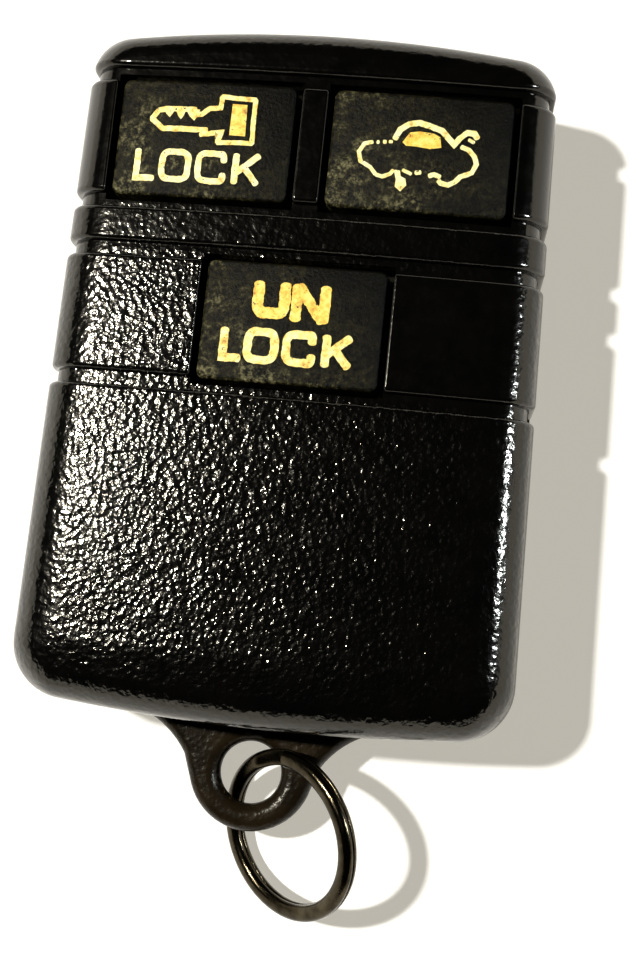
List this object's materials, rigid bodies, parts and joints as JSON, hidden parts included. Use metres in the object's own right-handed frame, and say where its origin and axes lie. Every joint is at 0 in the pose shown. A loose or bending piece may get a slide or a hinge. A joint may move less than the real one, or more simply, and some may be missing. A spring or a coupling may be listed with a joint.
{
  "type": "car key fob",
  "caption": "Black remote key fob with raised lock, unlock and trunk push buttons set in grooved windows, a moulded lug and a split key ring.",
  "frame": {"origin": "middle of the flat back, on the table", "axes": "+X across the fob to the right, +Y along it towards the upper buttons, +Z out of its face"},
  "size_m": [0.037, 0.0666, 0.0124],
  "materials": {
    "case_plastic": "black, fine leather grain, slightly glossy",
    "button_rubber": "matte, fine grain",
    "board_laminate": "satin green laminate",
    "copper": "thin tinned copper",
    "chip_plastic": "moulded epoxy",
    "tinned_metal": "tinned",
    "ceramic": "satin ceramic",
    "plunger_plastic": "smooth",
    "cell_steel": "nickel plated",
    "ring_metal": "dark nickel, worn"
  },
  "bodies": {
    "case": {"front_cover": "case_plastic", "rear_cover": "case_plastic", "keypad_mat": "button_rubber", "lock_web": "button_rubber", "trunk_web": "button_rubber", "unlock_web": "button_rubber", "circuit_board": "board_laminate", "aerial_track": "copper", "controller_body": "chip_plastic", "controller_leads": "tinned_metal", "memory_body": "chip_plastic", "memory_leads": "tinned_metal", "resonator": "tinned_metal", "transistor": "chip_plastic", "inductor": "chip_plastic", "capacitors": "ceramic", "resistors": "chip_plastic", "switch_housings": "chip_plastic", "switch_covers": "tinned_metal", "battery_can": "cell_steel", "battery_gasket": "chip_plastic", "battery_cap": "cell_steel", "battery_strap": "tinned_metal", "battery_leaf": "tinned_metal"},
    "lock_key": {"lock_button": "button_rubber", "lock_plunger": "plunger_plastic"},
    "trunk_key": {"trunk_button": "button_rubber", "trunk_plunger": "plunger_plastic"},
    "unlock_key": {"unlock_button": "button_rubber", "unlock_plunger": "plunger_plastic"},
    "ring": {"key_ring": "ring_metal"}
  },
  "joints": [
    {"name": "lock_press", "type": "slide", "parent": "case", "child": "lock_key", "axis": [0, 0, -1], "range_m": [0, 0.00035], "stiffness_N_per_m": 4000, "deforming": ["lock_web"]},
    {"name": "trunk_press", "type": "slide", "parent": "case", "child": "trunk_key", "axis": [0, 0, -1], "range_m": [0, 0.00035], "stiffness_N_per_m": 4000, "deforming": ["trunk_web"]},
    {"name": "unlock_press", "type": "slide", "parent": "case", "child": "unlock_key", "axis": [0, 0, -1], "range_m": [0, 0.00035], "stiffness_N_per_m": 4000, "deforming": ["unlock_web"]},
    {"name": "ring_swing", "type": "hinge", "parent": "case", "child": "ring", "pos_m": [-0.00065, -0.02995, 0.00345], "axis": [0, 0, 1], "range_deg": [-95, 15]}
  ]
}
